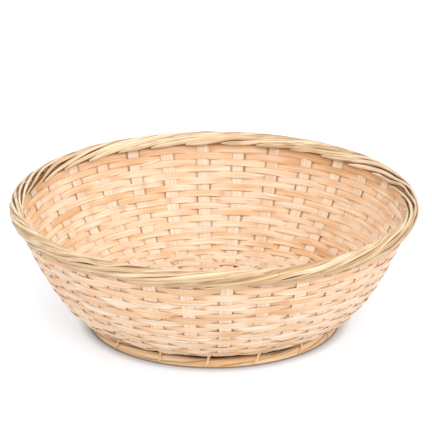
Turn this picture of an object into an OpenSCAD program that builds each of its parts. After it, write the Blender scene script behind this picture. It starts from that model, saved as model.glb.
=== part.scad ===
// Woven bread basket of flat split-bamboo strips.
//
// Sixteen long strips cross in the middle of the base, eight each way. Each one turns in the plane of
// the base, runs outwards along a spoke and bends up to make two of the thirty-two wall stakes. Closed
// rings of weaver pass over and under the stakes. Two hoops grip the tops of the stakes, and a border
// of narrow strands is wound round them. A ring foot is lashed under the base.
//
// The frame: +Z is up, and the origin is on the axis of the basket, on the plane that the foot
// stands on. Millimetres.

/* [Stakes] */
// Width of each long strip, which is also the width of a wall stake
stake_width = 7.8; // [7.2:0.1:7.9]
// Thickness of each long strip
stake_thickness = 0.8; // [0.6:0.1:0.9]

/* [Weavers] */
// Width of a wall weaver, measured up the wall
wall_weaver_width = 3.8; // [3.4:0.1:3.8]
// Thickness of a weaver
weaver_thickness = 0.6; // [0.4:0.1:0.7]

/* [Wall] */
// Height of the middle surface of the base above the table
base_height = 8.3; // [8.2:0.1:9]
// Radius of the flat part of the base
base_radius = 72.8; // [72.5:0.1:73.5]
// Bend radius of the fold between base and wall
fold_radius = 22; // [21:0.5:23]
// Bend radius of the lower wall
lower_wall_radius = 38.5; // [37.5:0.5:40]
// Bend radius of the upper wall
upper_wall_radius = 192; // [188:1:195]

/* [Rim] */
// Half of the width of the rolled rim
rim_half_width = 4.1; // [4:0.05:4.3]
// Half of the height of the rolled rim
rim_half_height = 5.9; // [5.8:0.1:6]
// Part of a turn that each border strand travels round the basket, in degrees
strand_travel = 78.75; // [78:0.25:80]
// Thickness of a border strand
strand_thickness = 1.1; // [0.9:0.1:1.1]

/* [Foot] */
// Mean radius of the foot ring
foot_radius = 75; // [74.8:0.1:75.1]
// Height of the flat-bottomed foot hoop
foot_hoop_height = 2.6; // [2.2:0.1:2.6]
// Number of full twists that the foot strands make round the ring
foot_twists = 3; // [2:1:6]

/* [Hidden] */

// --- The weave -----------------------------------------------------------------------------------
strips_per_way = 8;
stake_count = 4 * strips_per_way;
stake_step = 360 / stake_count;
check_pitch = 8.2;                                  // spacing of the strips that cross in the base
check_lift = (stake_thickness + 0.2) / 2;           // height of a strip over the middle of the base
check_flat = stake_width / 2 + 0.05;                // half of the level stretch at each crossing
check_end = ((strips_per_way - 1) * check_pitch + stake_width) / 2 + 0.9;  // where a strip is level again
weave_play = 0.15;                                  // clearance between a weaver and a stake
weaver_offset = (stake_thickness + weaver_thickness) / 2 + weave_play;
weaver_reach = stake_width / 2 + 0.5;               // sideways distance from a stake to the weaver's bend
wall_rows = 18;                                     // of the same width, below the wide top row
wall_row_pitch = 4.04;
wall_rows_from_end = 3.3;                           // from the last of them to the end of the curved wall
top_row_past_end = 1.2;                             // from the end of the curved wall to the wide row
top_row_width = 4.8;
foot_row = 75;                                      // distance along a stake to the row over the foot
foot_row_width = 4;
inner_row_from = 69.7;                              // distance along a stake to the next row inwards
inner_row_pitch = 4.7;
inner_row_width = 4.4;
inner_rows = 5;

// --- The path of a stake: distance along it from the axis -> radius, height and slope -------------
fold_angle = 35;
lower_wall_angle = 55;
upper_wall_angle = 70.6;
arc_radii = [fold_radius, lower_wall_radius, upper_wall_radius];
arc_slopes = [0, fold_angle, lower_wall_angle, upper_wall_angle];
arc_pieces = [5, 4, 5];                             // straight pieces that make each arc of a stake
arc_lengths = [for (i = [0:2]) arc_radii[i] * (arc_slopes[i + 1] - arc_slopes[i]) * PI / 180];

function arc_point(start, i, slope) = [
    start[0] + arc_radii[i] * (sin(slope) - sin(arc_slopes[i])),
    start[1] + arc_radii[i] * (cos(arc_slopes[i]) - cos(slope))
];

fold_start = [base_radius, base_height];
lower_start = arc_point(fold_start, 0, fold_angle);
upper_start = arc_point(lower_start, 1, lower_wall_angle);
wall_end = arc_point(upper_start, 2, upper_wall_angle);
arc_distances = [
    base_radius,
    base_radius + arc_lengths[0],
    base_radius + arc_lengths[0] + arc_lengths[1],
    base_radius + arc_lengths[0] + arc_lengths[1] + arc_lengths[2]
];

function slope_in_arc(i, distance) =
    arc_slopes[i] + (distance - arc_distances[i]) / arc_radii[i] * 180 / PI;

function wall_slope(distance) =
    distance < arc_distances[0] ? 0
    : distance < arc_distances[1] ? slope_in_arc(0, distance)
    : distance < arc_distances[2] ? slope_in_arc(1, distance)
    : distance < arc_distances[3] ? slope_in_arc(2, distance)
    : upper_wall_angle;

function wall_point(distance) =
    distance < arc_distances[0] ? [distance, base_height]
    : distance < arc_distances[1] ? arc_point(fold_start, 0, wall_slope(distance))
    : distance < arc_distances[2] ? arc_point(lower_start, 1, wall_slope(distance))
    : distance < arc_distances[3] ? arc_point(upper_start, 2, wall_slope(distance))
    : wall_end + (distance - arc_distances[3]) * [cos(upper_wall_angle), sin(upper_wall_angle)];

// Outward normal of the middle surface, downwards under the base
function wall_normal(distance) = [sin(wall_slope(distance)), -cos(wall_slope(distance))];

// --- The rim: an oval bundle that leans outwards with the stakes -----------------------------------
rim_height = wall_end[1] + 5.8;                     // height of the middle of the rolled rim
rim_lean = 90 - upper_wall_angle;
rim_sideways = [cos(rim_lean), -sin(rim_lean)];
rim_upwards = [sin(rim_lean), cos(rim_lean)];

// Middle of the stakes above the curved wall
function stake_line(height) = wall_end + (height - wall_end[1]) / cos(rim_lean) * rim_upwards;

rim_middle = stake_line(rim_height) + [0.1, 0];
stake_top_height = rim_height + 3.7;
stake_end = arc_distances[3] + (stake_top_height - wall_end[1]) / cos(rim_lean);
hoop_play = 0.2;                                    // clearance between a hoop and the stakes
inner_hoop_thickness = 1.7;
outer_hoop_thickness = 1.4;
hoop_bottom = rim_height - 1.7;
hoop_top = rim_height + 2.2;
strand_wrap_start = -40;                            // angles round the rim's section, 0 is outwards
strand_wrap_end = 205;
strand_wrap_shift = 5.8;                            // evens out the spacing round the oval
strand_sections = 16;
strand_outer_width = 2.6;
strand_inner_width = 2.2;
strand_groups = 8;

// --- The foot ------------------------------------------------------------------------------------
foot_hoop_width = 4;
foot_strand_count = 3;
foot_strand_radius = 0.85;                          // of each strand
foot_twist_radius = 1.05;                           // of the helix that the strands follow
foot_twist_height = foot_hoop_height + foot_strand_radius + foot_twist_radius + 0.15;
foot_sections = 48;
foot_strand_sides = 4;
tie_count = 16;
tie_width = 1.6;
tie_thickness = 0.5;
tie_inner_radius = 72.2;                            // inner face of a tie's inner leg
tie_outer_radius = 77.65;                           // outer face of a tie's outer leg
tie_bottom = 0.1;
tie_top = base_height + 1.7;
tie_notch_depth = 0.8;
tie_notch_play = 0.3;

// --- Shared shapes -------------------------------------------------------------------------------

// Quads as pairs of triangles between two rings of points, ring a and ring b, each of n points
function ring_faces(a, b, n) = [
    for (i = [0:n - 1])
        let (j = (i + 1) % n)
        each [[a + i, b + i, b + j], [a + i, b + j, a + j]]
];

// One triangle fan that closes a ring of n points
function cap_faces(first, n, flipped) = [
    for (i = [1:n - 2])
        flipped ? [first, first + i, first + i + 1] : [first, first + i + 1, first + i]
];

// A solid swept through a list of sections, each a list of points, either closed on itself or capped
module sweep(sections, closed) {
    n = len(sections[0]);
    count = len(sections);
    sides = [
        for (k = [0:count - (closed ? 1 : 2)])
            each ring_faces(k * n, ((k + 1) % count) * n, n)
    ];
    caps = closed ? [] : concat(cap_faces(0, n, true), cap_faces((count - 1) * n, n, false));
    polyhedron(points = [for (section = sections) each section], faces = concat(sides, caps));
}

function around_axis(radius, height, angle) = [radius * cos(angle), radius * sin(angle), height];

// An outline in a vertical plane through the axis, given a width
module upright(angle, width) {
    rotate([90, 0, angle])
        linear_extrude(height = width, center = true)
            children();
}

// --- Stakes --------------------------------------------------------------------------------------

// Cross-section of a strip at one point. `across` points to its +Y side, `up` is its inner normal.
function strip_section(point, across, up) = [
    for (corner = [[-1, -1], [1, -1], [1, 1], [-1, 1]])
        point + corner[0] * stake_width / 2 * across + corner[1] * stake_thickness / 2 * up
];

// The run over the middle of the base: level at each crossing, over and under by turns
function crossing_sections(index, offset_y) = [
    for (crossing = [0:strips_per_way - 1], edge = [-1, 1])
        let (
            middle = (crossing - (strips_per_way - 1) / 2) * check_pitch,
            lift = (index + crossing) % 2 == 0 ? check_lift : -check_lift
        )
        strip_section([middle + edge * check_flat, offset_y, base_height + lift], [0, 1, 0], [0, 0, 1])
];

// Distances along a stake at which its bend is given a section
bend_distances = [
    for (i = [0:2], k = [0:arc_pieces[i] - 1])
        arc_distances[i] + arc_lengths[i] * k / arc_pieces[i]
];

// The run from the middle of the base along a spoke and up the wall, on the +X side
function arm_sections(offset_y, turn) = concat(
    [
        strip_section([check_end, offset_y, base_height], [0, 1, 0], [0, 0, 1]),
        strip_section([offset_y / tan(turn), offset_y, base_height], [-tan(turn / 2), 1, 0], [0, 0, 1])
    ],
    [
        for (distance = concat(bend_distances, [arc_distances[3], stake_end]))
            let (point = wall_point(distance), slope = wall_slope(distance))
            strip_section(
                around_axis(point[0], point[1], turn),
                [-sin(turn), cos(turn), 0],
                around_axis(-sin(slope), cos(slope), turn)
            )
    ]
);

// The same sections on the -X side, in the order that leads up to the middle
function on_other_side(sections) = [
    for (k = [len(sections) - 1:-1:0])
        [for (point = sections[k]) [-point[0], point[1], point[2]]]
];

// A long strip with the given place in its set, 0 to 7, running across the base along X
module long_strip(index) {
    place = index - (strips_per_way - 1) / 2;
    offset_y = place * check_pitch;
    arm = arm_sections(offset_y, place * stake_step);
    color("burlywood")
        sweep(concat(on_other_side(arm), crossing_sections(index, offset_y), arm), false);
}

module stake_x(number) {
    long_strip(number - 1);
}

module stake_y(number) {
    rotate([0, 0, 90])
        long_strip(number - 1);
}

// --- Weavers -------------------------------------------------------------------------------------

// Cross-section of a weaver at one place: `out` is how far it stands outside the middle surface
function weaver_section(distance, width, out, angle) =
    let (
        middle = wall_point(distance) + out * wall_normal(distance),
        along = width / 2 * [cos(wall_slope(distance)), sin(wall_slope(distance))],
        across = weaver_thickness / 2 * wall_normal(distance)
    )
    [
        for (corner = [middle - along - across, middle + along - across,
                       middle + along + across, middle - along + across])
            around_axis(corner[0], corner[1], angle)
    ];

// A closed ring of weaver, outside one stake and inside the next
module weaver_ring(row, distance, width) {
    radius = wall_point(distance)[0];
    reach = asin(weaver_reach / radius);
    color(row % 2 == 0 ? "wheat" : "navajowhite")
        sweep([
            for (stake = [0:stake_count - 1], edge = [-1, 1])
                let (out = (stake + row) % 2 == 1 ? weaver_offset : -weaver_offset)
                weaver_section(distance, width, out, (stake + 0.5) * stake_step + edge * reach)
        ], true);
}

module base_weaver(number) {
    if (number > inner_rows)
        weaver_ring(number, foot_row, foot_row_width);
    else
        weaver_ring(number, inner_row_from - (inner_rows - number) * inner_row_pitch, inner_row_width);
}

module wall_weaver(number) {
    row = number + inner_rows + 1;
    if (number > wall_rows)
        weaver_ring(row, arc_distances[3] + top_row_past_end, top_row_width);
    else
        weaver_ring(
            row,
            arc_distances[3] - wall_rows_from_end - (wall_rows - number) * wall_row_pitch,
            wall_weaver_width
        );
}

// --- Rim -----------------------------------------------------------------------------------------

// A hoop that leans with the stakes, from `near` to `far` outside their middle surface
module leaning_hoop(near, far) {
    rotate_extrude($fn = 128)
        polygon([
            for (corner = [[near, hoop_bottom], [far, hoop_bottom], [far, hoop_top], [near, hoop_top]])
                stake_line(corner[1]) + [corner[0] / cos(rim_lean), 0]
        ]);
}

module rim_inner_hoop() {
    near = stake_thickness / 2 + hoop_play;
    color("tan")
        leaning_hoop(-near - inner_hoop_thickness, -near);
}

module rim_outer_hoop() {
    near = stake_thickness / 2 + hoop_play;
    color("tan")
        leaning_hoop(near, near + outer_hoop_thickness);
}

// Cross-section of a border strand: a flat strip lying on the rim's oval, narrower inside
function strand_section(turn, angle) =
    let (
        wrap = turn - strand_wrap_shift * sin(2 * turn),
        half_width = rim_half_width - strand_thickness / 2,
        half_height = rim_half_height - strand_thickness / 2,
        middle = rim_middle + half_width * cos(wrap) * rim_sideways + half_height * sin(wrap) * rim_upwards,
        steep = half_height * cos(wrap) * rim_sideways + half_width * sin(wrap) * rim_upwards,
        outwards = steep / norm(steep),
        along = [-outwards[1], outwards[0]],
        half = strand_thickness / 2
    )
    [
        for (corner = [
            middle - half * outwards - strand_inner_width / 2 * along,
            middle - half * outwards + strand_inner_width / 2 * along,
            middle + half * outwards + strand_outer_width / 2 * along,
            middle + half * outwards - strand_outer_width / 2 * along
        ])
            around_axis(corner[0], corner[1], angle)
    ];

// One border strand: it starts beside its stake on the rim's outside, climbs over the top and ends
// part of the way down the rim's inside
module border_strand(stake) {
    sweep([
        for (k = [0:strand_sections - 1])
            let (part = k / (strand_sections - 1))
            strand_section(
                strand_wrap_start + part * (strand_wrap_end - strand_wrap_start),
                stake * stake_step + part * strand_travel
            )
    ], false);
}

module rim_strands(number) {
    color("peru")
        for (stake = [number - 1:strand_groups:stake_count - 1])
            border_strand(stake);
}

// --- Foot ----------------------------------------------------------------------------------------

module foot_hoop() {
    notch_width = tie_width + 2 * tie_notch_play;
    color("sandybrown")
        difference() {
            rotate_extrude($fn = 128)
                translate([foot_radius - foot_hoop_width / 2, 0])
                    square([foot_hoop_width, foot_hoop_height]);
            for (tie = [0:tie_count - 1])
                rotate([0, 0, tie * 360 / tie_count])
                    translate([foot_radius - foot_hoop_width, -notch_width / 2, -1])
                        cube([2 * foot_hoop_width, notch_width, 1 + tie_notch_depth]);
        }
}

// One of three strands that twist round each other on top of the foot hoop
module foot_strand(number) {
    color("sandybrown")
        sweep([
            for (k = [0:foot_sections - 1])
                let (
                    angle = k * 360 / foot_sections,
                    twist = angle * foot_twists + number * 360 / foot_strand_count,
                    radius = foot_radius + foot_twist_radius * cos(twist),
                    height = foot_twist_height + foot_twist_radius * sin(twist)
                )
                [
                    for (side = [0:foot_strand_sides - 1])
                        let (turn = twist - side * 360 / foot_strand_sides)
                        around_axis(
                            radius + foot_strand_radius * cos(turn),
                            height + foot_strand_radius * sin(turn),
                            angle
                        )
                ]
        ], true);
}

// Narrow lashings between the stakes, each one a closed loop round the foot and the row above it
module foot_ties() {
    color("wheat")
        for (tie = [0:tie_count - 1])
            upright(tie * 360 / tie_count, tie_width)
                difference() {
                    translate([tie_inner_radius, tie_bottom])
                        square([tie_outer_radius - tie_inner_radius, tie_top - tie_bottom]);
                    translate([tie_inner_radius + tie_thickness, tie_bottom + tie_thickness])
                        square([
                            tie_outer_radius - tie_inner_radius - 2 * tie_thickness,
                            tie_top - tie_bottom - 2 * tie_thickness
                        ]);
                }
}

// --- Assembly ------------------------------------------------------------------------------------
stake_x(1);  // stake_x1
stake_x(2);  // stake_x2
stake_x(3);  // stake_x3
stake_x(4);  // stake_x4
stake_x(5);  // stake_x5
stake_x(6);  // stake_x6
stake_x(7);  // stake_x7
stake_x(8);  // stake_x8
stake_y(1);  // stake_y1
stake_y(2);  // stake_y2
stake_y(3);  // stake_y3
stake_y(4);  // stake_y4
stake_y(5);  // stake_y5
stake_y(6);  // stake_y6
stake_y(7);  // stake_y7
stake_y(8);  // stake_y8
base_weaver(1);  // base_weaver_1
base_weaver(2);  // base_weaver_2
base_weaver(3);  // base_weaver_3
base_weaver(4);  // base_weaver_4
base_weaver(5);  // base_weaver_5
base_weaver(6);  // base_weaver_6
wall_weaver(1);  // wall_weaver_1
wall_weaver(2);  // wall_weaver_2
wall_weaver(3);  // wall_weaver_3
wall_weaver(4);  // wall_weaver_4
wall_weaver(5);  // wall_weaver_5
wall_weaver(6);  // wall_weaver_6
wall_weaver(7);  // wall_weaver_7
wall_weaver(8);  // wall_weaver_8
wall_weaver(9);  // wall_weaver_9
wall_weaver(10);  // wall_weaver_10
wall_weaver(11);  // wall_weaver_11
wall_weaver(12);  // wall_weaver_12
wall_weaver(13);  // wall_weaver_13
wall_weaver(14);  // wall_weaver_14
wall_weaver(15);  // wall_weaver_15
wall_weaver(16);  // wall_weaver_16
wall_weaver(17);  // wall_weaver_17
wall_weaver(18);  // wall_weaver_18
wall_weaver(19);  // wall_weaver_19
rim_inner_hoop();
rim_outer_hoop();
rim_strands(1);  // rim_strands_1
rim_strands(2);  // rim_strands_2
rim_strands(3);  // rim_strands_3
rim_strands(4);  // rim_strands_4
rim_strands(5);  // rim_strands_5
rim_strands(6);  // rim_strands_6
rim_strands(7);  // rim_strands_7
rim_strands(8);  // rim_strands_8
foot_hoop();
foot_strand(1);  // foot_strand_1
foot_strand(2);  // foot_strand_2
foot_strand(3);  // foot_strand_3
foot_ties();
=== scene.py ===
"""Looks of a woven bread basket of split bamboo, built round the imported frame.

Every strip of the basket is its own piece: a swept ribbon with rounded edges, fibre ridges and split
lines, an uneven width and a slightly wandering path. Lengths are in metres.
"""
import math

import bpy
import numpy as np
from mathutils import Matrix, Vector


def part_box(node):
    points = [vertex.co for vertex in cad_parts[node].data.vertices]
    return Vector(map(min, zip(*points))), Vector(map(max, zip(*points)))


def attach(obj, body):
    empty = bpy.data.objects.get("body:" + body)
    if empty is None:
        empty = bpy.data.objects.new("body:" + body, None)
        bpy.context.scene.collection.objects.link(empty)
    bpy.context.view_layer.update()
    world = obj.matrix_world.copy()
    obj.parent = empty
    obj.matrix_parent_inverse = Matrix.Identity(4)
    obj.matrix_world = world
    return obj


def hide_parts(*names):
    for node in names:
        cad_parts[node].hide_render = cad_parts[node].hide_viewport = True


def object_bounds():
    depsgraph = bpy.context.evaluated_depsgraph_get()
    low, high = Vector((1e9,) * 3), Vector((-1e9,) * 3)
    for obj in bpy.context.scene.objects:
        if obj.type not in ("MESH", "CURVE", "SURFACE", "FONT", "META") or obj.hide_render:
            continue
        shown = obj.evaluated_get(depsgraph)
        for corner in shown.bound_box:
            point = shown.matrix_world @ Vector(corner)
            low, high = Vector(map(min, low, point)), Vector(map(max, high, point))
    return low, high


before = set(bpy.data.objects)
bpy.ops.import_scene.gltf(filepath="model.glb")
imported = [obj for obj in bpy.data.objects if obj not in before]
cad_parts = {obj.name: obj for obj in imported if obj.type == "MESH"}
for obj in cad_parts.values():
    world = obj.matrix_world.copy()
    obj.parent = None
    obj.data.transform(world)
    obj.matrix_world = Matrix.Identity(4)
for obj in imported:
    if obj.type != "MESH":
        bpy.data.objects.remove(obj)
cad_low, cad_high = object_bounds()

MM = 0.001
VERTICAL = np.array([0.0, 0.0, 1.0])
WAY_COUNT = 8                                    # stake strips that run each way
MIDDLE_INDEX = (WAY_COUNT - 1) / 2
STAKES = [f"stake_{way}{i}" for way in "xy" for i in range(1, WAY_COUNT + 1)]
BASE_ROWS = [f"base_weaver_{i}" for i in range(1, 7)]
WALL_ROWS = [f"wall_weaver_{i}" for i in range(1, 20)]
STRAND_GROUPS = [f"rim_strands_{i}" for i in range(1, 9)]
FOOT_STRANDS = [f"foot_strand_{i}" for i in range(1, 4)]
STAKE_COUNT = 2 * len(STAKES)
STAKE_STEP = 2 * math.pi / STAKE_COUNT

STAKE_WIDTH = 7.8 * MM
STAKE_THICKNESS = 0.58 * MM
WEAVER_THICKNESS = 0.42 * MM
SKIN_TONE = 0.4                                  # how much more tan a stake's outer side is


# --- Reading the frame ---------------------------------------------------------------------------

def node_points(name):
    """A CAD node's vertices as an array."""
    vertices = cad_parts[name].data.vertices
    points = np.empty(len(vertices) * 3)
    vertices.foreach_get("co", points)
    return points.reshape(-1, 3)


PROFILE_SAMPLES = 1200
SMOOTHING = 30                                   # samples each way over which the profile is rounded


class WallProfile:
    """The middle surface of the weave: distance from the axis along a stake -> radius, height, slope."""

    def __init__(self, row_names, top_height):
        rows = [ring_mean(name) for name in row_names]
        knots = np.array([(0.0, rows[0][1])] + rows)
        # beyond the last row, on to the stake tops, the wall goes on as it does over the last rows
        upward = knots[-1] - knots[-4]
        upward /= np.linalg.norm(upward)
        reach = (top_height - knots[-1][1]) / upward[1]
        knots = np.vstack([knots, knots[-1] + upward * reach])
        steps = np.linalg.norm(np.diff(knots, axis=0), axis=1)
        distance = np.concatenate([[0], np.cumsum(steps)])
        self.rows = distance[1:-1]
        self.end = distance[-1]
        self.s = np.linspace(0, self.end, PROFILE_SAMPLES)
        lines = [np.interp(self.s, distance, knots[:, i]) for i in (0, 1)]
        kernel = np.hanning(2 * SMOOTHING + 1)
        kernel /= kernel.sum()
        padded = [np.pad(line, SMOOTHING, mode="reflect", reflect_type="odd") for line in lines]
        self.radius, self.height = (np.convolve(line, kernel, mode="valid") for line in padded)
        self.slope = np.arctan2(np.gradient(self.height), np.gradient(self.radius))

    def at(self, s):
        """Radius, height and slope at a distance along a stake."""
        radius = np.interp(s, self.s, self.radius)
        height = np.interp(s, self.s, self.height)
        slope = np.interp(s, self.s, self.slope)
        return radius, height, slope


def ring_mean(name):
    """Mean radius and height of a ring-shaped CAD node."""
    points = node_points(name)
    return float(np.hypot(points[:, 0], points[:, 1]).mean()), float(points[:, 2].mean())


# --- Unevenness ----------------------------------------------------------------------------------

def wobble(rng, u, low, high, size):
    """Smooth noise of about the given size, periodic over u from 0 to 1, of `low` to `high` waves."""
    waves = np.arange(low, high + 1)
    strength = rng.normal(size=len(waves)) / np.sqrt(len(waves))
    phase = rng.uniform(0, 2 * math.pi, len(waves))
    return size * (strength[:, None] * np.cos(2 * math.pi * waves[:, None] * u + phase[:, None])).sum(0)


def ridges(rng, u, across, size, count):
    """Fibre ridges over a ribbon's face: fine across it, drifting slowly along it."""
    height = np.zeros((len(u), len(across)))
    for _ in range(count):
        centre = rng.uniform(-1, 1) + wobble(rng, u, 1, 6, 0.12)
        width = rng.uniform(0.07, 0.22)
        swell = size * rng.uniform(0.4, 1.0) * (0.6 + wobble(rng, u, 2, 14, 0.5))
        sign = -1 if rng.random() < 0.6 else 1
        height += sign * swell[:, None] * np.exp(-((across[None, :] - centre[:, None]) / width) ** 2)
    return height


# --- Ribbons -------------------------------------------------------------------------------------

ACROSS = np.sin(np.linspace(-1, 1, 13) * math.pi / 2)    # closer together towards the edges
FINE_ACROSS = np.sin(np.linspace(-1, 1, 21) * math.pi / 2)
EDGE_ROUNDING = 5.0                              # the higher, the squarer a strip's section
EDGE_SHARPNESS = 6.0                             # the higher, the narrower the dark line at its edge
KNOT_HEIGHT = 0.12 * MM


def bake_bands(along, length, perimeter):
    """The number of bands that a ribbon's skin is cut into for baking, and the band of each place."""
    bands = max(1, round(math.sqrt(length / perimeter)))
    return bands, np.clip(np.floor(along / length * bands), 0, bands - 1)


class Ribbon:
    """A strip swept along a path.

    centre, across and up are arrays of points and unit vectors, one per section. width and thickness
    are numbers or arrays. tone is a number or an array from 0, pale, to 1, tan, and skin is added to it
    on the top side, because the two sides of split bamboo differ. splits and knots are numbers of ridges
    and bumps. camber is how far the edges bend away from `up`. The shades, from 0 to 1, darken the
    grooves, the edges, the top and the bottom.
    """

    def __init__(self, name, centre, across, up, width, thickness, rng, closed=False, relief=0.05 * MM,
                 tone=0.5, splits=5, cross=ACROSS, knots=2, camber=0, groove_shade=0, edge_shade=0,
                 top_shade=0, bottom_shade=0, skin=0):
        self.name = name
        count = len(centre)
        u = np.arange(count) / (count if closed else count - 1)
        width = np.broadcast_to(np.asarray(width, float), (count,))
        thickness = np.broadcast_to(np.asarray(thickness, float), (count,))
        body = (1 - np.abs(cross) ** EDGE_ROUNDING) ** (1 / EDGE_ROUNDING)
        top_ridges = ridges(rng, u, cross, relief, splits)
        bottom_ridges = ridges(rng, u, cross, relief, splits)
        top = (thickness[:, None] / 2 + top_ridges) * body
        bottom = (bottom_ridges - thickness[:, None] / 2) * body
        knot = knot_marks(rng, u, knots)
        top += KNOT_HEIGHT * knot[:, None] * body
        sideways = np.concatenate([cross, cross[-2:0:-1]])
        height = np.hstack([top, bottom[:, -2:0:-1]]) - camber * sideways[None, :] ** 2
        points = (centre[:, None, :]
                  + across[:, None, :] * (width[:, None] / 2 * sideways[None, :])[:, :, None]
                  + up[:, None, :] * height[:, :, None])
        sides = np.concatenate([np.ones(len(cross)), np.zeros(len(cross) - 2)])
        top_shade = np.broadcast_to(np.asarray(top_shade, float), (count,))
        bottom_shade = np.broadcast_to(np.asarray(bottom_shade, float), (count,))
        shade = np.where(sides[None, :] > 0, top_shade[:, None], bottom_shade[:, None])
        depth = np.hstack([-top_ridges, bottom_ridges[:, -2:0:-1]]) / relief
        shade = np.maximum(shade, groove_shade * np.clip(depth - 0.35, 0, 1))
        shade = np.maximum(shade, edge_shade * np.abs(sideways)[None, :] ** EDGE_SHARPNESS)
        tone = np.broadcast_to(np.asarray(tone, float), (count,))
        tone = tone[:, None] + skin * sides[None, :]
        self.build(points, closed, sideways, width, tone, knot, shade, rng)

    def build(self, points, closed, sideways, width, tone, knot, shade, rng):
        """Makes the mesh, with UVs in metres along the fibre and a second layer, in bands, for baking."""
        count, around = points.shape[:2]
        vertices = points.reshape(-1, 3)
        spans = count if closed else count - 1
        k = np.repeat(np.arange(spans), around)
        i = np.tile(np.arange(around), spans)
        k2, i2 = (k + 1) % count, (i + 1) % around
        quads = np.stack([k * around + i, k * around + i2, k2 * around + i2, k2 * around + i], axis=1)
        mesh = bpy.data.meshes.new(self.name)
        caps = [] if closed else [list(range(around))[::-1],
                                  [(count - 1) * around + j for j in range(around)]]
        mesh.from_pydata(vertices.tolist(), [], quads.tolist() + caps)
        steps = np.linalg.norm(np.diff(points.mean(1), axis=0), axis=1)
        along = np.concatenate([[0], np.cumsum(steps)])
        length = along[-1] + (np.linalg.norm(points[0].mean(0) - points[-1].mean(0)) if closed else 0)
        along_end = np.append(along, length)
        noise_start = rng.uniform(0, 40)    # so that no two strips have the same streaks
        lateral = sideways * float(width.mean()) / 2
        turn = np.arange(around + 1) / around
        uv = np.empty((len(quads), 4, 2))
        bake = np.empty((len(quads), 4, 2))
        perimeter = 2.1 * float(width.mean())    # both sides and the two edges
        bands, band = bake_bands(along[k], length, perimeter)
        for corner, (kk, ii) in enumerate([(k, i), (k, i + 1), (k + 1, i + 1), (k + 1, i)]):
            uv[:, corner, 0] = along_end[kk] + noise_start
            uv[:, corner, 1] = lateral[ii % around] + 0.02
            column = along_end[kk] / length * bands - band
            bake[:, corner, 0] = np.clip(column, 0, 1) * 0.98 + 0.01
            bake[:, corner, 1] = (band + 0.04 + 0.92 * turn[ii]) / bands
        cap_uv = np.zeros((len(caps) * around, 2))
        for layer, values in (("fibre", uv), ("OFBake", bake)):
            data = mesh.uv_layers.new(name=layer).data
            data.foreach_set("uv", np.vstack([values.reshape(-1, 2), cap_uv]).ravel())
        fields = {"tone": tone.ravel(), "knot": np.repeat(knot, around), "shade": shade.ravel()}
        for name, values in fields.items():
            layer = mesh.attributes.new(name, "FLOAT", "POINT")
            layer.data.foreach_set("value", values.astype(np.float32))
        mesh.polygons.foreach_set("use_smooth", [True] * len(mesh.polygons))
        mesh.update()
        self.piece = bpy.data.objects.new(self.name, mesh)
        bpy.context.scene.collection.objects.link(self.piece)


def knot_marks(rng, u, count):
    """Narrow bumps where the bamboo's joints crossed the strip, at random places."""
    marks = np.zeros(len(u))
    for _ in range(rng.integers(0, count + 1)):
        middle = rng.uniform(0.03, 0.97)
        marks += np.exp(-((u - middle) / 0.0035) ** 2)
    return np.clip(marks, 0, 1)


def place(ribbon, material, slot, *nodes):
    """Gives a finished ribbon its material and makes it stand for its CAD nodes."""
    piece = ribbon.piece
    piece.data.materials.append(material)
    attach(piece, "root")
    if nodes:
        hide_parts(*nodes)


def unit(vectors):
    """The same directions, with length 1."""
    return vectors / np.linalg.norm(vectors, axis=1)[:, None]


def radial_vectors(theta):
    """Unit vectors that point away from the basket's axis."""
    return np.stack([np.cos(theta), np.sin(theta), np.zeros_like(theta)], axis=1)


def ring_vectors(theta, slope):
    """Unit vectors of a wall section: up the wall, and the outward normal."""
    radial = radial_vectors(theta)
    cos, sin = np.cos(slope)[:, None], np.sin(slope)[:, None]
    return cos * radial + sin * VERTICAL, sin * radial - cos * VERTICAL


def polar(radius, theta, height):
    """Points from their distance to the axis, angle round it and height."""
    return np.stack([radius * np.cos(theta), radius * np.sin(theta), height], axis=1)


# --- Materials -----------------------------------------------------------------------------------

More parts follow.
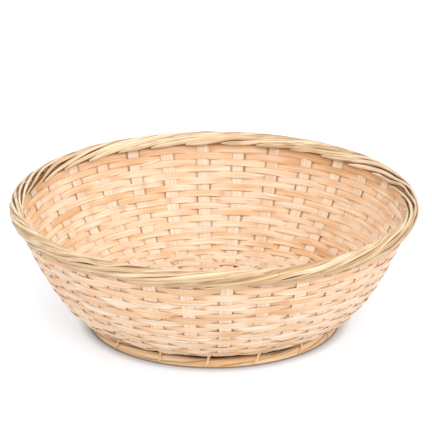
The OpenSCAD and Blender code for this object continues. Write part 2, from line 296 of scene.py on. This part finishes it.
def bamboo(name, pale, tan, dark, deep=(0.16, 0.07, 0.025), rough=0.45):
    """Split bamboo: streaks of fibre along the strip, over a tone set strip by strip.

    pale and tan are the ends of the tone, dark is for fibres, knots and the highest tones, and deep is for
    shaded places.
    """
    material = bpy.data.materials.new(name)
    material.use_nodes = True
    nodes, links = material.node_tree.nodes, material.node_tree.links
    shader = nodes["Principled BSDF"]

    def add(kind, **settings):
        node = nodes.new(kind)
        for key, value in settings.items():
            setattr(node, key, value)
        return node

    def mix(factor, a, b):
        node = add("ShaderNodeMix", data_type="RGBA")
        for socket, value in ((0, factor), (6, a), (7, b)):
            if isinstance(value, bpy.types.NodeSocket):
                links.new(value, node.inputs[socket])
            else:
                node.inputs[socket].default_value = value
        return node.outputs[2]

    def math_node(operation, a, b=0.0, c=0.0):
        node = add("ShaderNodeMath", operation=operation)
        for index, value in enumerate((a, b, c)):
            if isinstance(value, bpy.types.NodeSocket):
                links.new(value, node.inputs[index])
            else:
                node.inputs[index].default_value = value
        return node.outputs[0]

    def streaks(along, across, detail, offset=0.0):
        """Noise with so many waves to a metre along the strip and across it."""
        mapping = add("ShaderNodeMapping")
        mapping.inputs["Scale"].default_value = (along, across, 1)
        mapping.inputs["Location"].default_value = (offset, offset, 0)
        links.new(fibre.outputs["UV"], mapping.inputs["Vector"])
        noise = add("ShaderNodeTexNoise")
        noise.inputs["Scale"].default_value = 1.0
        noise.inputs["Detail"].default_value = detail
        noise.inputs["Roughness"].default_value = 0.6
        links.new(mapping.outputs["Vector"], noise.inputs["Vector"])
        return noise.outputs["Fac"]

    def spread(value, low, high):
        """0 to 1 over the given range of a value."""
        node = add("ShaderNodeMapRange")
        links.new(value, node.inputs["Value"])
        node.inputs["From Min"].default_value = low
        node.inputs["From Max"].default_value = high
        return node.outputs["Result"]

    fibre = add("ShaderNodeUVMap", uv_map="fibre")
    tone = add("ShaderNodeAttribute", attribute_name="tone").outputs["Fac"]
    knot = add("ShaderNodeAttribute", attribute_name="knot").outputs["Fac"]
    shade = add("ShaderNodeAttribute", attribute_name="shade").outputs["Fac"]
    fine = streaks(along=18, across=5200, detail=3)
    broad = streaks(along=9, across=1500, detail=2, offset=7.3)
    stripe = streaks(along=12, across=600, detail=1, offset=3.1)
    patch = streaks(along=22, across=60, detail=2, offset=5.7)
    body = math_node("MULTIPLY_ADD", spread(stripe, 0.43, 0.57), 0.6, math_node("SUBTRACT", tone, 0.45))
    body = math_node("MULTIPLY_ADD", spread(patch, 0.35, 0.65), 0.3, body)
    colour = mix(body, (*pale, 1), (*tan, 1))
    brown = math_node("MULTIPLY", math_node("SUBTRACT", body, 0.8), 0.6)
    colour = mix(math_node("MAXIMUM", brown, 0.0), colour, (*dark, 1))
    split = spread(math_node("ABSOLUTE", math_node("SUBTRACT", stripe, 0.5)), 0.05, 0.0)
    colour = mix(math_node("MULTIPLY", split, 0.35), colour, (*dark, 1))
    colour = mix(math_node("MULTIPLY", spread(broad, 0.52, 0.72), 0.5), colour, (*dark, 1))
    colour = mix(math_node("MULTIPLY", spread(fine, 0.52, 0.75), 0.35), colour, (*dark, 1))
    colour = mix(math_node("MULTIPLY", knot, 0.5), colour, (*dark, 1))
    colour = mix(shade, colour, (*deep, 1))
    links.new(colour, shader.inputs["Base Color"])
    links.new(math_node("MULTIPLY_ADD", fine, 0.22, rough - 0.1), shader.inputs["Roughness"])
    shader.inputs["Specular IOR Level"].default_value = 0.5
    height = math_node("MULTIPLY_ADD", broad, 0.6, fine)
    bump = add("ShaderNodeBump")
    bump.inputs["Strength"].default_value = 0.55
    bump.inputs["Distance"].default_value = 0.12 * MM
    links.new(height, bump.inputs["Height"])
    links.new(bump.outputs["Normal"], shader.inputs["Normal"])
    return material


WEAVER = bamboo("weaver_bamboo", pale=(0.82, 0.67, 0.51), tan=(0.76, 0.49, 0.28), dark=(0.56, 0.29, 0.13),
                deep=(0.24, 0.075, 0.015))
STAKE = bamboo("stake_bamboo", pale=(0.80, 0.65, 0.50), tan=(0.74, 0.52, 0.35), dark=(0.56, 0.35, 0.20))
RIM = bamboo("rim_bamboo", pale=(0.83, 0.66, 0.46), tan=(0.54, 0.34, 0.16), dark=(0.32, 0.16, 0.055),
             deep=(0.17, 0.075, 0.02))
# partly painted highlight: a pale, glossy bamboo for torn fibre, made near white so that the slivers stand
# for the white glints along the weavers' edges
SLIVER = bamboo("sliver_bamboo", pale=(0.91, 0.83, 0.71), tan=(0.84, 0.70, 0.53), dark=(0.62, 0.40, 0.22),
                rough=0.3)
# painted shade: the rim's hoops, seen only through the gaps between the strands, are a dark brown that
# stands for the shade in those gaps
SHADE_PAINTED_HOOP = bamboo("hoop_bamboo", pale=(0.40, 0.19, 0.07), tan=(0.28, 0.12, 0.04), dark=(0.12, 0.05, 0.02))
FOOT = bamboo("foot_bamboo", pale=(0.88, 0.66, 0.41), tan=(0.82, 0.50, 0.24), dark=(0.48, 0.24, 0.09),
              deep=(0.22, 0.09, 0.03))


# --- The weave -----------------------------------------------------------------------------------

STAKE_PITCH = 8.2 * MM                           # between neighbouring strips in the middle of the base
STAKE_FILLET = 6 * MM                            # where a strip turns from the check into its spoke
CROSSING_LIFT = 0.45 * MM                        # of the upper strip where two cross

stake_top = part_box("stake_x1")[1].z
profile = WallProfile(BASE_ROWS + WALL_ROWS, stake_top)
base_height = profile.height[0]


def stake_half(index):
    """Points of one half of a stake strip, from the middle out, and how many of them are in the check.

    In plan it runs straight through the check, turns in a fillet and goes on straight away from the axis.
    """
    offset = (index - MIDDLE_INDEX) * STAKE_PITCH
    turn = (index - MIDDLE_INDEX) * STAKE_STEP
    turn_x = offset / math.tan(turn)
    straight = np.linspace(0, turn_x - STAKE_FILLET, 30, endpoint=False)
    t = np.linspace(0, 1, 8, endpoint=False)[:, None]
    start = np.array([turn_x - STAKE_FILLET, offset])
    corner = np.array([turn_x, offset])
    spoke = np.array([math.cos(turn), math.sin(turn)])
    end = corner + STAKE_FILLET * spoke
    radius, height, _ = profile.at(np.linspace(np.linalg.norm(end), profile.end, 110))
    plan = np.vstack([
        np.stack([straight, np.full(len(straight), offset)], axis=1),
        (1 - t) ** 2 * start + 2 * t * (1 - t) * corner + t ** 2 * end,
        radius[:, None] * spoke,
    ])
    flat = len(straight) + len(t)
    return np.column_stack([plan, np.concatenate([np.full(flat, base_height), height])]), flat


def crossing_lift(index, x, side):
    """How far a strip is lifted over, or pressed down under, the strips that it crosses in the check."""
    crossing = side * x / STAKE_PITCH + MIDDLE_INDEX
    nearest = np.clip(np.round(crossing), 0, WAY_COUNT - 1)
    sign = np.where((index + nearest) % 2 == 0, 1.0, -1.0)
    wave = np.clip(2.2 * np.cos(math.pi * (crossing - nearest)), 0, 1)
    half_check = WAY_COUNT / 2 * STAKE_PITCH
    fade = np.clip((half_check + 1.5 * MM - x) / (2.5 * MM), 0, 1)
    return sign * wave * fade * CROSSING_LIFT


def make_stake(number, name):
    """A long strip: over and under in the middle of the base, out along two spokes and up the wall."""
    rng = np.random.default_rng(100 + number)
    way = name[-2]
    index = int(name[-1]) - 1
    points, flat = stake_half(index)
    halves = []
    for side in (-1, 1):
        half = points * (side, 1, 1)
        half[:flat, 2] += crossing_lift(index, points[:flat, 0], side)
        halves.append(half)
    centre = np.vstack([halves[0][:0:-1], halves[1]])
    forward = unit(np.gradient(centre, axis=0))
    across = unit(np.cross(VERTICAL, forward))
    up = np.cross(forward, across)
    u = np.linspace(0, 1, len(centre))
    centre = centre + across * wobble(rng, u, 2, 9, 0.22 * MM)[:, None]
    centre = centre + up * wobble(rng, u, 8, 30, 0.06 * MM)[:, None]
    if way == "y":
        quarter_turn = np.array([[0, 1, 0], [-1, 0, 0], [0, 0, 1]])
        centre, across, up = centre @ quarter_turn, across @ quarter_turn, up @ quarter_turn
    width = STAKE_WIDTH * (1 + rng.normal() * 0.03) + wobble(rng, u, 2, 12, 0.25 * MM)
    tone = np.clip(0.35 + rng.normal() * 0.2 + wobble(rng, u, 1, 10, 0.15), 0, 1)
    ribbon = Ribbon(name + "_strip", centre, across, up, width, STAKE_THICKNESS, rng,
                    tone=tone + SKIN_TONE, splits=9, relief=0.07 * MM, skin=-SKIN_TONE)
    place(ribbon, STAKE, "stake_bamboo", name)


STRIP_CLEARANCE = 0.06 * MM                      # round a stake, inside and outside together
ROW_OVERLAP = 0.04 * MM                          # of each row over its neighbour where they are closed up
OPEN_GAP = 0.5 * MM                              # beside a row at most
TOP_ROW_EXTRA = 1.2 * MM                         # how much wider the top row is
FLAT_SPREAD = 0.45 * MM                          # of each edge where a weaver lies flat over a stake
FIRST_OPEN_ROW = 12                              # the rows below it are closed up, round the fold
RECESS_SHADE = 0.95                                     # how dark the painted shade beside the stakes is at most, where a weaver dives behind a stake
BROWN_PATCHES = [    # angle round the wall, row from the middle out, reach of each, strength
    (math.radians(48), 25, 0.3, 1.8, 0.9),
    (math.radians(42), 11, 0.25, 3.5, 0.9),
    (math.radians(150), 15, 0.5, 5.0, 0.2),
]


def weave_wave(radius, phase):
    """Out, 1, over one stake and in, -1, under the next, level across the width of each."""
    edge = math.cos(math.pi * (STAKE_WIDTH / 2 + 0.3 * MM) / (radius * STAKE_STEP))
    stiff = 1.1 / edge
    return np.tanh(stiff * np.cos(math.pi * phase)) / math.tanh(stiff)


def row_edges(rows, theta):
    """Lower edge of every row and upper edge of the last, as distances, wandering round the ring."""
    rng = np.random.default_rng(290)
    u = theta / (2 * math.pi)
    middles = (rows[1:] + rows[:-1]) / 2
    first, last = 2 * rows[0] - middles[0], 2 * rows[-1] - middles[-1]
    edges = np.concatenate([[first], middles, [last + TOP_ROW_EXTRA]])
    shared = wobble(rng, u, 1, 5, 0.45 * MM)
    return [edge + shared + wobble(rng, u, 2, 26, 0.2 * MM) for edge in edges]


RING_COUNT = 20 * STAKE_COUNT                    # sections of a weaver
RING_ANGLES = np.arange(RING_COUNT) / RING_COUNT * 2 * math.pi
ROW_EDGES = row_edges(profile.rows, RING_ANGLES)


def slack(rng, u):
    """Open gap beside a row: mostly closed, here and there open."""
    return -ROW_OVERLAP + OPEN_GAP * np.clip(wobble(rng, u, 3, 30, 1.0) - 1.9, 0, 1)


def closeness(number):
    """How tightly a row is beaten against its neighbours: 0 up the wall, 1 at the fold and in the base."""
    return np.clip((FIRST_OPEN_ROW - number) / 3, 0, 1)


def spread_flat(wave, close):
    """How far each edge of a weaver spreads: most where it lies flat over the outside of a stake."""
    return (0.16 + 0.2 * close) * MM + FLAT_SPREAD * np.clip(wave, 0, 1) ** 0.6


def beside_stakes(rng, phase, radius):
    """How close a place on a ring is to the edge of a stake, from 0 to 1, at some of the edges only: the
    mask of the painted shade where a weaver dives behind a stake.
    """
    from_stake = ((phase + 0.5) % 1 - 0.5) * radius * STAKE_STEP
    edge = 2 * np.floor(phase + 0.5).astype(int) + (from_stake > 0)
    depth = np.clip(rng.normal(0.45, 0.55, 2 * STAKE_COUNT + 2), 0, 1)
    past_edge = np.abs(from_stake) - STAKE_WIDTH / 2
    return np.clip(1.2 - past_edge / (1.3 * MM), 0, 1) * depth[edge % len(depth)]


def brown_patches(theta, number):
    """How much browner the weave is made, from 0 to 1, in a few wide patches of the wall."""
    brown = np.zeros_like(theta)
    for angle, row, reach, row_reach, strength in BROWN_PATCHES:
        apart = (theta - angle + math.pi) % (2 * math.pi) - math.pi
        brown += strength * np.exp(-(apart / reach) ** 2 - ((number - row) / row_reach) ** 2)
    return brown


def make_weaver(number, name, distance):
    """A closed ring of weaver, over one stake and under the next. Rows are numbered from the middle out."""
    rng = np.random.default_rng(300 + number)
    theta = RING_ANGLES
    u = theta / (2 * math.pi)
    phase = theta / STAKE_STEP - 0.5 + number + 1
    wave = weave_wave(profile.at(distance)[0], phase)
    close = closeness(number)
    low = ROW_EDGES[number - 1] + slack(rng, u) * (1 - close) - spread_flat(wave, close)
    high = ROW_EDGES[number] - slack(rng, u) * (1 - close) + spread_flat(wave, close)
    radius, height, slope = profile.at((low + high) / 2)
    swing = (STAKE_THICKNESS + WEAVER_THICKNESS + STRIP_CLEARANCE) / 2
    out = wave * swing + wobble(rng, u, 6, 30, 0.08 * MM)
    upward, outward = ring_vectors(theta, slope)
    tip = wobble(rng, u, 4, 40, 0.13)
    across = unit(upward + tip[:, None] * outward)
    normal = unit(outward - tip[:, None] * upward)
    centre = polar(radius, theta, height) + out[:, None] * outward
    tone = np.clip(0.42 + rng.normal() * 0.22 + wobble(rng, u, 2, 26, 0.34), 0, 1.2)
    if number == len(ROW_EDGES) - 1:
        tone = np.clip(0.95 + wobble(rng, u, 2, 12, 0.25), 0, 1.2)
    tone = tone + brown_patches(theta, number)
    thickness = WEAVER_THICKNESS + wobble(rng, u, 3, 20, 0.03 * MM)
    # painted shade: darker on the face of the weaver that turns towards a stake, near the stake's edges,
    # where the weaver dives behind it
    recess_shade = RECESS_SHADE * (1 - 0.5 * close) * beside_stakes(rng, phase, radius)
    ribbon = Ribbon(name + "_strip", centre, across, normal, high - low, thickness, rng, closed=True,
                    tone=tone, splits=10, relief=0.08 * MM, knots=3, groove_shade=0.3, edge_shade=0.2,
                    skin=0.25, top_shade=recess_shade * (wave < 0), bottom_shade=recess_shade * (wave > 0))
    place(ribbon, WEAVER, "weaver_bamboo", name)


SLIVER_COUNT = 60
SLIVER_LENGTHS = (6, 20)                         # shortest and longest, in millimetres
SLIVER_WIDTHS = (0.4, 1.2)                       # narrowest and widest, in millimetres
SLIVER_THICKNESS = 0.14 * MM


def make_sliver(number):
    """A torn fibre that has lifted off a weaver, held at one end: tapered, and standing a little proud."""
    rng = np.random.default_rng(1200 + number)
    count = 24
    u = np.linspace(0, 1, count)
    inside = rng.random() < 0.6
    theta_start = rng.uniform(0, 2 * math.pi)
    length = rng.uniform(*SLIVER_LENGTHS) * MM
    distance = rng.uniform(profile.rows[len(BASE_ROWS)], profile.rows[-2])
    theta = theta_start + u * length / profile.at(distance)[0]
    rise = rng.uniform(-0.16, 0.16) * length
    radius, height, slope = profile.at(distance + rise * u)
    _, outward = ring_vectors(theta, slope)
    side = -1 if inside else 1
    proud = STAKE_THICKNESS / 2 + WEAVER_THICKNESS + (0.15 + rng.uniform(0, 0.7) * u ** 2) * MM
    centre = polar(radius, theta, height) + side * proud[:, None] * outward
    forward = unit(np.gradient(centre, axis=0))
    across = unit(np.cross(outward, forward))
    up = np.cross(forward, across)
    taper = 0.15 + 0.85 * np.sin(math.pi * (0.08 + 0.9 * u)) ** 0.6
    width = rng.uniform(*SLIVER_WIDTHS) * MM * taper
    ribbon = Ribbon(f"sliver_{number + 1}", centre, across, up, width, SLIVER_THICKNESS, rng,
                    tone=rng.uniform(0, 0.3), splits=2, relief=0.02 * MM, knots=0)
    place(ribbon, SLIVER, "weaver_bamboo")


# --- Rim -----------------------------------------------------------------------------------------

RIM_HALF_WIDTH = 4.1 * MM
RIM_HALF_HEIGHT = 5.9 * MM
STRAND_WIDTH = 3.35 * MM
STRAND_THICKNESS = 1.1 * MM
STRAND_TRAVEL = math.radians(78.75)              # round the rim, from a strand's start to its end
WRAP_START = math.radians(-44)                   # round the border's section, from its outside up
WRAP_END = math.radians(212)
WRAP_SHIFT = math.radians(5.8)                   # spreads the wrap evenly round the oval section
LOOSE_SIDES = [(math.radians(5), 0.5), (math.radians(168), 0.5)]    # angle round the rim, and its reach

rim_lean = math.pi / 2 - profile.slope[-1]
reach_out = math.hypot(RIM_HALF_WIDTH * math.cos(rim_lean), RIM_HALF_HEIGHT * math.sin(rim_lean))
reach_up = math.hypot(RIM_HALF_WIDTH * math.sin(rim_lean), RIM_HALF_HEIGHT * math.cos(rim_lean))
rim_radius = max(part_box(name)[1].x for name in STRAND_GROUPS) - reach_out
rim_height = max(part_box(name)[1].z for name in STRAND_GROUPS) - reach_up


def looseness(theta):
    """How loosely the border is wound, from 0 to 1: its strands part near two sides of the rim."""
    loose = np.zeros_like(theta)
    for side, reach in LOOSE_SIDES:
        apart = (theta - side + math.pi) % (2 * math.pi) - math.pi
        loose = np.maximum(loose, np.exp(-(apart / reach) ** 2))
    return loose


def make_strand(stake):
    """A border strand, wound from the rim's outside over the top to its inside on a long lay."""
    rng = np.random.default_rng(700 + stake)
    count = 150
    u = np.linspace(0, 1, count)
    turn = WRAP_START + u * (WRAP_END - WRAP_START) + np.radians(wobble(rng, u, 1, 5, 6))
    wrap = turn - WRAP_SHIFT * np.sin(2 * turn)
    theta = stake * STAKE_STEP + u * STRAND_TRAVEL
    swell = wobble(rng, u, 1, 6, 0.16 * MM)
    a = RIM_HALF_WIDTH - STRAND_THICKNESS / 2 + swell
    b = RIM_HALF_HEIGHT - STRAND_THICKNESS / 2 + swell
    radial = radial_vectors(theta)
    sideways = math.cos(rim_lean) * radial - math.sin(rim_lean) * VERTICAL
    upwards = math.sin(rim_lean) * radial + math.cos(rim_lean) * VERTICAL
    centre = (polar(np.full(count, rim_radius), theta, np.full(count, rim_height))
              + (a * np.cos(wrap))[:, None] * sideways + (b * np.sin(wrap))[:, None] * upwards)
    outward = unit((b * np.cos(wrap))[:, None] * sideways + (a * np.sin(wrap))[:, None] * upwards)
    forward = unit(np.gradient(centre, axis=0))
    across = unit(np.cross(outward, forward))
    up = np.cross(forward, across)
    width = STRAND_WIDTH * (1 + rng.normal() * 0.06) + wobble(rng, u, 2, 12, 0.2 * MM)
    width = width * (1 - 0.5 * looseness(theta))
    width = width * (0.35 + 0.65 * np.clip(np.minimum(u, 1 - u) / 0.05, 0, 1))
    # painted shade: the strands' tone is made tan and darker on the outside of the rim's section than on
    # its inside, and stays pale where the strands part loose
    outside_shade = (1 + np.cos(wrap)) / 2 * (1 - looseness(theta))
    tone = np.clip(0.18 + 0.6 * outside_shade + rng.normal() * 0.2 + wobble(rng, u, 1, 10, 0.12), 0, 1)
    return Ribbon(f"rim_strand_{stake + 1}", centre, across, up, width, STRAND_THICKNESS, rng,
                  tone=tone, splits=12, relief=0.12 * MM, cross=FINE_ACROSS, knots=1,
                  camber=0.3 * MM, groove_shade=0.6, edge_shade=0.75)


def make_rim():
    """The border: a strand for every stake, wound over two hoops."""
    for stake in range(STAKE_COUNT):
        group = STRAND_GROUPS[stake % len(STRAND_GROUPS)]
        place(make_strand(stake), RIM, "rim_bamboo", group)
    for name in ("rim_inner_hoop", "rim_outer_hoop"):
        make_hoop(name, SHADE_PAINTED_HOOP, "hoop_bamboo")


NEAR = 0.1 * MM                                  # of a CAD hoop's lower or upper edge


def make_hoop(name, material, slot):
    """A hoop of the same section as its CAD node, with rounded edges and fibre."""
    rng = np.random.default_rng(sum(map(ord, name)))
    low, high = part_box(name)
    points = node_points(name)
    radius = np.hypot(points[:, 0], points[:, 1])
    bottom = radius[points[:, 2] < low.z + NEAR]
    top = radius[points[:, 2] > high.z - NEAR]
    lean = (top.mean() - bottom.mean()) / (high.z - low.z)
    thickness = (bottom.max() - bottom.min()) * math.cos(math.atan(lean))
    count = 320
    theta = np.arange(count) / count * 2 * math.pi
    u = np.arange(count) / count
    slope = np.full(count, math.atan2(1, lean))
    upward, outward = ring_vectors(theta, slope)
    middle = (bottom.mean() + top.mean()) / 2
    centre = polar(np.full(count, middle), theta, np.full(count, (low.z + high.z) / 2))
    width = (high.z - low.z) / math.sin(slope[0])
    ribbon = Ribbon(name + "_band", centre, upward, outward, width, thickness, rng, closed=True,
                    tone=0.5 + wobble(rng, u, 1, 9, 0.15), splits=6, relief=0.08 * MM)
    place(ribbon, material, slot, name)


# --- Foot ----------------------------------------------------------------------------------------

FOOT_HALF_WIDTH = 2.0 * MM
FOOT_HALF_HEIGHT = 2.6 * MM
FOOT_INSET = (0.35 * MM, 0.75 * MM)              # of the strips' middles, across and up
FOOT_CLEARANCE = 0.3 * MM                        # from the floor
FOOT_TURNS = 3                                   # of a strip round the hoop, in once round the foot
FOOT_STRIP_WIDTH = 4.9 * MM
FOOT_STRIP_THICKNESS = 0.9 * MM
TIE_COUNT = 16
TIE_WIDTH = 1.5 * MM
TIE_THICKNESS = 0.3 * MM
TIE_CORNERS = 2 / 4.5                            # below 1, a rounded rectangle and not an ellipse


def make_foot():
    """Three wide flat strips laid round the foot hoop on a long lay, and the ties that hold it."""
    make_hoop("foot_hoop", FOOT, "foot_bamboo")
    radius = ring_mean("foot_hoop")[0]
    middle = FOOT_HALF_HEIGHT + FOOT_CLEARANCE
    for number, name in enumerate(FOOT_STRANDS):
        rng = np.random.default_rng(900 + number)
        count = 480
        u = np.arange(count) / count
        theta = u * 2 * math.pi
        turn = FOOT_TURNS * theta + (number + 0.2) * 2 * math.pi / 3 + wobble(rng, u, 1, 7, 0.25)
        radial = radial_vectors(theta)
        a = FOOT_HALF_WIDTH - FOOT_INSET[0]
        b = FOOT_HALF_HEIGHT - FOOT_INSET[1]
        centre = polar(radius + a * np.cos(turn), theta, middle + b * np.sin(turn))
        outward = unit((b * np.cos(turn))[:, None] * radial + (a * np.sin(turn))[:, None] * VERTICAL)
        forward = unit(np.roll(centre, -1, axis=0) - np.roll(centre, 1, axis=0))
        across = unit(np.cross(outward, forward))
        up = np.cross(forward, across)
        width = FOOT_STRIP_WIDTH + wobble(rng, u, 2, 14, 0.3 * MM)
        tone = np.clip(0.45 + rng.normal() * 0.2 + wobble(rng, u, 1, 10, 0.2), 0, 1)
        ribbon = Ribbon(name + "_strip", centre, across, up, width, FOOT_STRIP_THICKNESS, rng, closed=True,
                        tone=tone, splits=10, relief=0.1 * MM, cross=FINE_ACROSS, camber=0.9 * MM,
                        groove_shade=0.4, edge_shade=0.6)
        place(ribbon, FOOT, "foot_bamboo", name)
    make_ties()


def make_ties():
    """Lashings round the foot and the row over it, each pulled a little aslant."""
    low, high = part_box("foot_ties")
    outer = high.x
    points = node_points("foot_ties")
    near_axis = points[np.abs(points[:, 1]) < 1.1 * MM]
    inner = near_axis[near_axis[:, 0] > 0][:, 0].min()
    half_r = (outer - inner) / 2 - 0.1 * MM
    half_z = (high.z - low.z) / 2 - 0.25 * MM
    for tie in range(TIE_COUNT):
        rng = np.random.default_rng(950 + tie)
        middle = tie * 2 * math.pi / TIE_COUNT + math.radians(rng.uniform(-1.6, 1.6))
        lean = rng.uniform(0.02, 0.07)
        count = 72
        t = np.arange(count) / count * 2 * math.pi
        r = (outer + inner) / 2 + half_r * np.sign(np.cos(t)) * np.abs(np.cos(t)) ** TIE_CORNERS
        z = (high.z + low.z) / 2 + half_z * np.sign(np.sin(t)) * np.abs(np.sin(t)) ** TIE_CORNERS
        angle = middle + lean * np.sin(t) * (1 + np.cos(t)) / 2
        centre = polar(r, angle, z)
        forward = unit(np.roll(centre, -1, axis=0) - np.roll(centre, 1, axis=0))
        side = np.stack([-np.sin(angle), np.cos(angle), np.zeros(count)], axis=1)
        across = unit(side - (side * forward).sum(1)[:, None] * forward)
        up = np.cross(forward, across)
        ribbon = Ribbon(f"foot_tie_{tie + 1}", centre, across, up, TIE_WIDTH, TIE_THICKNESS, rng,
                        closed=True, tone=rng.uniform(0.5, 1.0), splits=3, relief=0.03 * MM, knots=0)
        place(ribbon, FOOT, "foot_bamboo", "foot_ties")


# --- Stage ---------------------------------------------------------------------------------------

CAMERA_DISTANCE = 1.8
CAMERA_PITCH = math.radians(20.8)
CAMERA_ORBIT = math.radians(2.03)
AIM_HEIGHT = 67.8 * MM
SENSOR_WIDTH = 36.0                  # this and the lens length are in millimetres
LENS_LENGTH = 261.83334
AXIS_SHIFT = 1.15 * MM               # how far right of the basket's axis the camera aims
FLOOR_REACH = 30.0                   # from the basket to each side of the paper
FLOOR_GLOW = 0.42
PAPER_GREY = (0.54, 0.58, 0.64, 1)
# painted contact shadow: the dark grey of the paper right round the foot
CONTACT_SHADOW_GREY = (0.28, 0.28, 0.30, 1)
SKY_STRENGTH = 1.22
GLOW_RING = (76 * MM, 86 * MM)       # distances from the axis between which the floor's glow rises
CONTACT_SHADOW_RING = (77 * MM, 79 * MM)    # and between which its grey turns from a dark painted contact shadow to pale


def make_camera():
    """A long lens, a little right of the front, that looks down on the basket."""
    data = bpy.data.cameras.new("camera")
    data.sensor_width = SENSOR_WIDTH
    data.lens = LENS_LENGTH
    camera = bpy.data.objects.new("camera", data)
    bpy.context.scene.collection.objects.link(camera)
    rise = CAMERA_DISTANCE * math.tan(CAMERA_PITCH)
    cos, sin = math.cos(CAMERA_ORBIT), math.sin(CAMERA_ORBIT)
    camera.location = (
        CAMERA_DISTANCE * sin + AXIS_SHIFT * cos,
        -CAMERA_DISTANCE * cos + AXIS_SHIFT * sin,
        AIM_HEIGHT + rise,
    )
    camera.rotation_euler = (math.pi / 2 - CAMERA_PITCH, 0, CAMERA_ORBIT)
    data.clip_start, data.clip_end = 0.05, 50
    bpy.context.scene.camera = camera


def area_light(name, place_at, size, power, colour=(1, 1, 1)):
    """A round soft light that faces the basket."""
    data = bpy.data.lights.new(name, "AREA")
    data.shape = "DISK"
    data.size = size
    data.energy = power
    data.color = colour
    lamp = bpy.data.objects.new(name, data)
    bpy.context.scene.collection.objects.link(lamp)
    lamp.location = place_at
    direction = -lamp.location.normalized()
    lamp.rotation_mode = "QUATERNION"
    lamp.rotation_quaternion = direction.to_track_quat("-Z", "Y")
    lamp.visible_camera = False


def floor_paper():
    """White paper that glows a little, but not under the basket, so that the foot stands on a shadow, and
    that is painted dark grey right round the foot: a painted contact shadow.
    """
    paper = bpy.data.materials.new("floor_paper")
    paper.use_nodes = True
    nodes, links = paper.node_tree.nodes, paper.node_tree.links
    shader = nodes["Principled BSDF"]
    place_on_floor = nodes.new("ShaderNodeTexCoord")
    from_middle = nodes.new("ShaderNodeVectorMath")
    from_middle.operation = "LENGTH"
    links.new(place_on_floor.outputs["Object"], from_middle.inputs[0])

    def rising(ring, top):
        """A value that rises from 0 to `top` between the two distances of a ring."""
        ramp = nodes.new("ShaderNodeMapRange")
        ramp.interpolation_type = "SMOOTHSTEP"
        ramp.inputs["From Min"].default_value = ring[0]
        ramp.inputs["From Max"].default_value = ring[1]
        ramp.inputs["To Max"].default_value = top
        links.new(from_middle.outputs["Value"], ramp.inputs["Value"])
        return ramp.outputs["Result"]

    # painted contact shadow: the paper's grey darkens in a narrow ring round the foot
    grey = nodes.new("ShaderNodeMix")
    grey.data_type = "RGBA"
    grey.inputs[6].default_value = CONTACT_SHADOW_GREY
    grey.inputs[7].default_value = PAPER_GREY
    links.new(rising(CONTACT_SHADOW_RING, 1), grey.inputs[0])
    links.new(grey.outputs[2], shader.inputs["Base Color"])
    shader.inputs["Roughness"].default_value = 0.9
    shader.inputs["Emission Color"].default_value = (1, 1, 1, 1)
    links.new(rising(GLOW_RING, FLOOR_GLOW), shader.inputs["Emission Strength"])
    return paper


def make_stage():
    """The paper floor, the white studio round it and two lights."""
    mesh = bpy.data.meshes.new("floor")
    corners = [(x * FLOOR_REACH, y * FLOOR_REACH, 0) for x, y in ((-1, -1), (1, -1), (1, 1), (-1, 1))]
    mesh.from_pydata(corners, [], [(0, 1, 2, 3)])
    floor = bpy.data.objects.new("floor", mesh)
    floor.location.z = min(cad_low.z, 0) - 0.05 * MM
    bpy.context.scene.collection.objects.link(floor)
    floor.data.materials.append(floor_paper())
    world = bpy.data.worlds.new("studio")
    bpy.context.scene.world = world
    world.use_nodes = True
    background = world.node_tree.nodes["Background"]
    background.inputs["Color"].default_value = (1, 1, 1, 1)
    background.inputs["Strength"].default_value = SKY_STRENGTH
    area_light("key", (0.3, -2.0, 1.7), size=1.4, power=24, colour=(1, 0.975, 0.93))
    area_light("side", (2.2, -0.6, 1.4), size=1.4, power=12)
    bpy.context.scene.view_settings.view_transform = "Standard"
    bpy.context.scene.view_settings.look = "None"


# --- Assembly ------------------------------------------------------------------------------------

make_camera()
for number, name in enumerate(STAKES):
    make_stake(number, name)
for number, name in enumerate(BASE_ROWS + WALL_ROWS):
    make_weaver(number + 1, name, profile.rows[number])
for number in range(SLIVER_COUNT):
    make_sliver(number)
make_rim()
make_foot()
make_stage()
